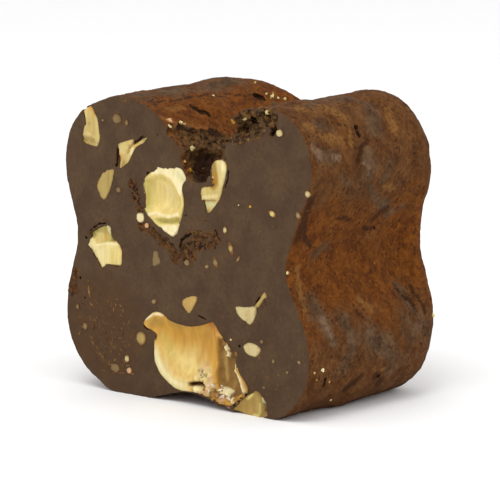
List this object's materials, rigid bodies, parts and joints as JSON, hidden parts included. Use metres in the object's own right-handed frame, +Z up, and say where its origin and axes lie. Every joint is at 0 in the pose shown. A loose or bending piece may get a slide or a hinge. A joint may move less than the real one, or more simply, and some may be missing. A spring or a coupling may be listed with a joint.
{
  "type": "chocolate truffle",
  "caption": "Cut half of a four-lobed chocolate truffle rolled in cocoa, with hazelnut pieces set flush in the flat cut face.",
  "frame": {"origin": "middle of the footprint, on the surface that the half rests on", "axes": "+X across the cut face to its right, +Y from the cut face towards the rolled end, +Z up"},
  "size_m": [0.0222, 0.0154, 0.0211],
  "materials": {
    "chocolate": "satin truffle paste on the cut face, matt cocoa powder on the rolled sides",
    "hazelnut": "cut nut flesh, waxy, cream at the rim and golden in the middle"
  },
  "bodies": {
    "root": {"chocolate_body": "chocolate", "hazelnut_scooped": "hazelnut", "hazelnut_corner": "hazelnut", "hazelnut_hollow": "hazelnut", "hazelnut_notch": "hazelnut", "hazelnut_left": "hazelnut", "hazelnut_edge": "hazelnut", "hazelnut_split": "hazelnut"}
  },
  "joints": []
}
